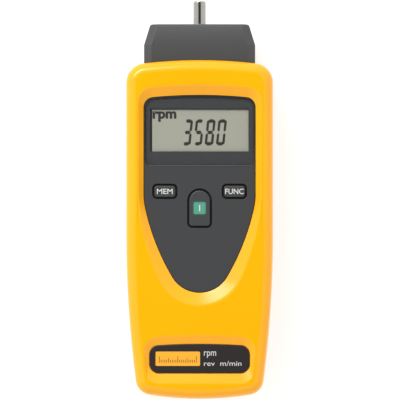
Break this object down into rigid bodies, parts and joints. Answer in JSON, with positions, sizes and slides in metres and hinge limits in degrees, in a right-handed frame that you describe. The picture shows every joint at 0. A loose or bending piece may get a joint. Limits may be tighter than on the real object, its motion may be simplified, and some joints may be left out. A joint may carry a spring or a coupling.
{
  "type": "hand-held tachometer",
  "caption": "Hand-held tachometer in a rounded two-part case, with a display, keys, a plug-in contact adapter and a turning shaft.",
  "frame": {"origin": "middle of the case's flat back", "axes": "+X across the case, +Y along it towards the contact shaft, +Z out of the display"},
  "size_m": [0.06, 0.1623, 0.028],
  "materials": {
    "case_plastic": "moulded, satin",
    "fascia_plastic": "moulded, fine texture",
    "clear_plastic": "clear, polished",
    "display_glass": "reflective display, satin polariser",
    "elastomer": "matt",
    "badge_plastic": "satin",
    "key_plastic": "moulded, satin",
    "mark_plastic": "moulded inlay",
    "black_plastic": "moulded, matt",
    "board_laminate": "solder mask",
    "plated_steel": "zinc or nickel plated",
    "cell_jacket": "printed film, plain",
    "contact_brass": "stamped or turned",
    "adapter_plastic": "moulded, satin",
    "shaft_steel": "turned and polished",
    "bearing_steel": "ground",
    "spacer_aluminium": "turned"
  },
  "bodies": {
    "case": {"front_shell": "case_plastic", "rear_shell": "case_plastic", "fascia": "fascia_plastic", "display_lens": "clear_plastic", "lcd_panel": "display_glass", "lcd_connectors": "elastomer", "badge_plate": "badge_plastic", "key_switches": "black_plastic", "main_board": "board_laminate", "processor_chip": "black_plastic", "timing_crystal": "plated_steel", "board_screws": "plated_steel", "case_screws": "plated_steel", "battery_left": "cell_jacket", "battery_right": "cell_jacket", "battery_springs": "plated_steel", "battery_terminals": "contact_brass", "battery_link": "contact_brass", "optical_block": "black_plastic", "laser_module": "contact_brass", "laser_lens": "clear_plastic", "photodiode": "black_plastic", "receiver_lens": "clear_plastic", "head_window": "clear_plastic"},
    "adapter": {"adapter_housing": "adapter_plastic", "adapter_back": "adapter_plastic", "adapter_screws": "plated_steel", "front_bearing_outer": "bearing_steel", "rear_bearing_outer": "bearing_steel", "bearing_spacer": "spacer_aluminium", "bearing_clip": "plated_steel"},
    "spindle": {"contact_shaft": "shaft_steel", "front_bearing_inner": "bearing_steel", "rear_bearing_inner": "bearing_steel", "chopper_disc": "black_plastic"},
    "ball_sets": {"bearing_balls": "bearing_steel", "bearing_cages": "contact_brass"},
    "power_key": {"power_button": "key_plastic", "power_mark": "mark_plastic", "power_plunger": "black_plastic"},
    "memory_key": {"memory_button": "key_plastic", "memory_plunger": "black_plastic"},
    "function_key": {"function_button": "key_plastic", "function_plunger": "black_plastic"},
    "cover": {"battery_cover": "case_plastic"}
  },
  "joints": [
    {"name": "adapter_pull", "type": "slide", "parent": "case", "child": "adapter", "axis": [0, 1, 0], "range_m": [0, 0.03]},
    {"name": "shaft_spin", "type": "hinge", "parent": "adapter", "child": "spindle", "pos_m": [0, 0.08805, 0.014], "axis": [0, 1, 0], "continuous": true},
    {"name": "cage_spin", "type": "hinge", "parent": "adapter", "child": "ball_sets", "pos_m": [0, 0.07, 0.014], "axis": [0, 1, 0], "continuous": true},
    {"name": "power_press", "type": "slide", "parent": "case", "child": "power_key", "axis": [0, 0, -1], "range_m": [0, 0.0006], "stiffness_N_per_m": 800, "springref_m": -0.0012},
    {"name": "memory_press", "type": "slide", "parent": "case", "child": "memory_key", "axis": [0, 0, -1], "range_m": [0, 0.0006], "stiffness_N_per_m": 800, "springref_m": -0.0012},
    {"name": "function_press", "type": "slide", "parent": "case", "child": "function_key", "axis": [0, 0, -1], "range_m": [0, 0.0006], "stiffness_N_per_m": 800, "springref_m": -0.0012},
    {"name": "cover_slide", "type": "slide", "parent": "case", "child": "cover", "axis": [0, -1, 0], "range_m": [0, 0.055]}
  ],
  "couplings": [
    {"joint": "cage_spin", "follows": "shaft_spin", "ratio": 0.4111}
  ]
}
